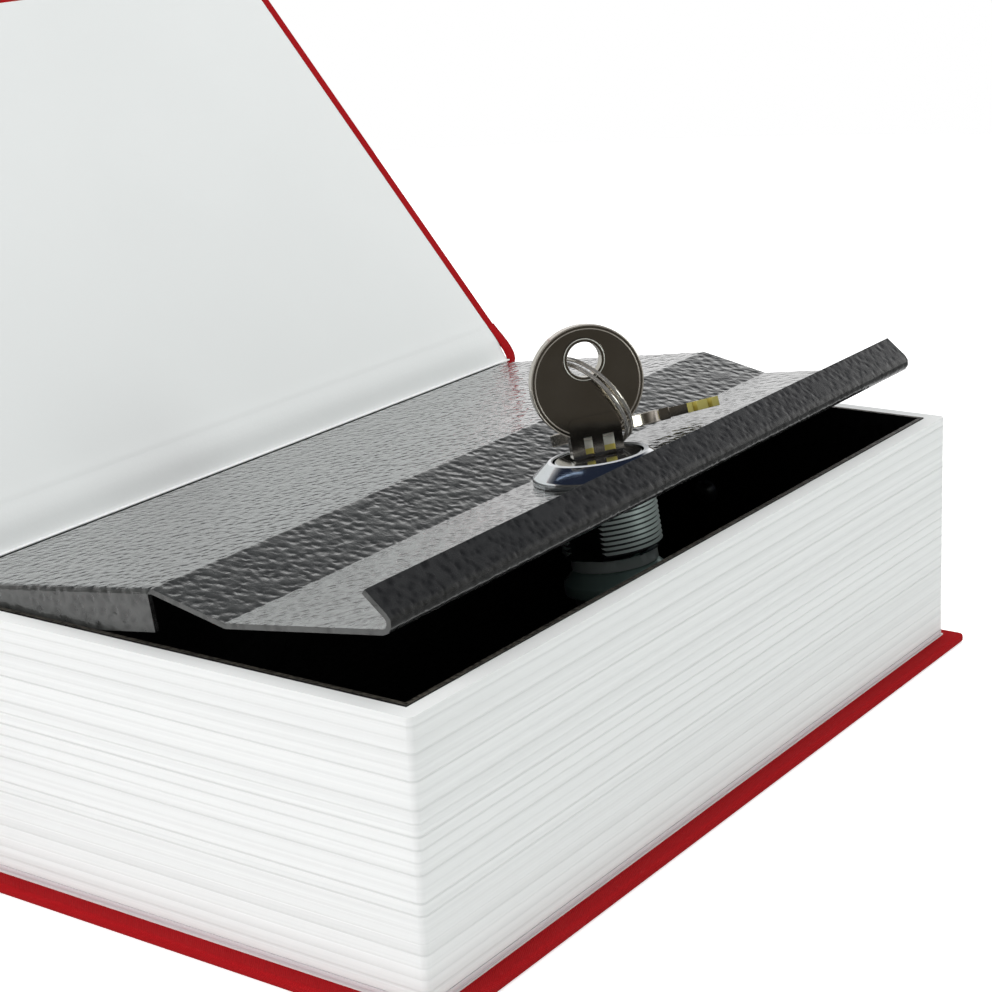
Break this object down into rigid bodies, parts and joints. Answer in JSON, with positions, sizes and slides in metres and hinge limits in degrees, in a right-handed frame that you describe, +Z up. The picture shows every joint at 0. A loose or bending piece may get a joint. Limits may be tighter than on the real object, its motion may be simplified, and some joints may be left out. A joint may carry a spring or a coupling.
{
  "type": "book diversion safe",
  "caption": "Hard-cover dummy book that opens to a hollow page block holding a steel cash box with a hinged lid, cam lock, keys and split ring.",
  "frame": {"origin": "middle of the closed book's footprint, on the underside of the back cover", "axes": "+X from the spine to the fore edge, +Y from the tail to the head of the book, +Z up out of the back cover"},
  "size_m": [0.1834, 0.1804, 0.1357],
  "materials": {
    "book_cloth": "matt red book cloth with a fine weave",
    "board": "grey pressed card under the cloth",
    "endpaper": "smooth white paper",
    "pages": "glued white paper leaves with fine uneven lines",
    "lid_paint": "glossy dark grey hammered paint",
    "box_paint": "dark hammered paint",
    "zinc": "zinc-plated steel",
    "lock_chrome": "polished chrome plate",
    "dark_chrome": "dark chrome plate",
    "wafer_brass": "plain brass",
    "spring_steel": "bright drawn wire",
    "key_nickel": "polished nickel plate over brass"
  },
  "bodies": {
    "case": {"case_cloth": "book_cloth", "back_board": "board", "back_endpaper": "endpaper", "spine_board": "board", "front_joint_cloth": "book_cloth", "joint_endpaper": "endpaper", "page_base": "pages", "page_block": "pages", "steel_box": "box_paint", "strike_plate": "zinc", "strike_rivet_1": "zinc", "strike_rivet_2": "zinc", "lid_pivot_head": "zinc", "lid_pivot_tail": "zinc", "box_rivet_head": "zinc", "box_rivet_tail": "zinc"},
    "front_cover": {"front_cloth": "book_cloth", "front_board": "board", "front_endpaper": "endpaper"},
    "lid": {"lid": "lid_paint", "lock_housing": "lock_chrome", "lock_washer": "zinc", "lock_nut": "zinc"},
    "plug": {"lock_plug": "lock_chrome", "wafer_1": "wafer_brass", "wafer_2": "wafer_brass", "wafer_3": "wafer_brass", "wafer_4": "wafer_brass", "wafer_5": "wafer_brass", "wafer_spring_1": "spring_steel", "wafer_spring_2": "spring_steel", "wafer_spring_3": "spring_steel", "wafer_spring_4": "spring_steel", "wafer_spring_5": "spring_steel", "cam_collar": "dark_chrome", "cam": "zinc", "cam_washer": "zinc", "cam_screw": "zinc"},
    "key": {"key": "key_nickel"},
    "key_ring": {"key_ring": "spring_steel"},
    "spare_key": {"spare_key": "key_nickel"}
  },
  "joints": [
    {"name": "cover_hinge", "type": "hinge", "parent": "case", "child": "front_cover", "pos_m": [-0.05314, 0, 0.0507], "axis": [0, -1, 0], "range_deg": [-105, 50]},
    {"name": "lid_hinge", "type": "hinge", "parent": "case", "child": "lid", "pos_m": [-0.0465, 0, 0.0457], "axis": [0, -1, 0], "range_deg": [-8.37, 86.63]},
    {"name": "lock_turn", "type": "hinge", "parent": "lid", "child": "plug", "pos_m": [0.02827, 0.00265, 0.0557], "axis": [0.1456, 0, -0.9893], "range_deg": [0, 48.7]},
    {"name": "key_pull", "type": "slide", "parent": "plug", "child": "key", "axis": [-0.1456, 0, 0.9893], "range_m": [0, 0.0175]},
    {"name": "ring_turn", "type": "hinge", "parent": "key", "child": "key_ring", "pos_m": [0.02375, 0.00643, 0.06731], "axis": [0.216, 0.8545, 0.4724], "range_deg": [0, 60]},
    {"name": "spare_swing", "type": "hinge", "parent": "key_ring", "child": "spare_key", "pos_m": [0.02139, 0.01012, 0.06042], "axis": [0.1456, 0, -0.9893], "range_deg": [-48.7, 0]}
  ],
  "couplings": [
    {"joint": "spare_swing", "follows": "lock_turn", "ratio": -1}
  ]
}
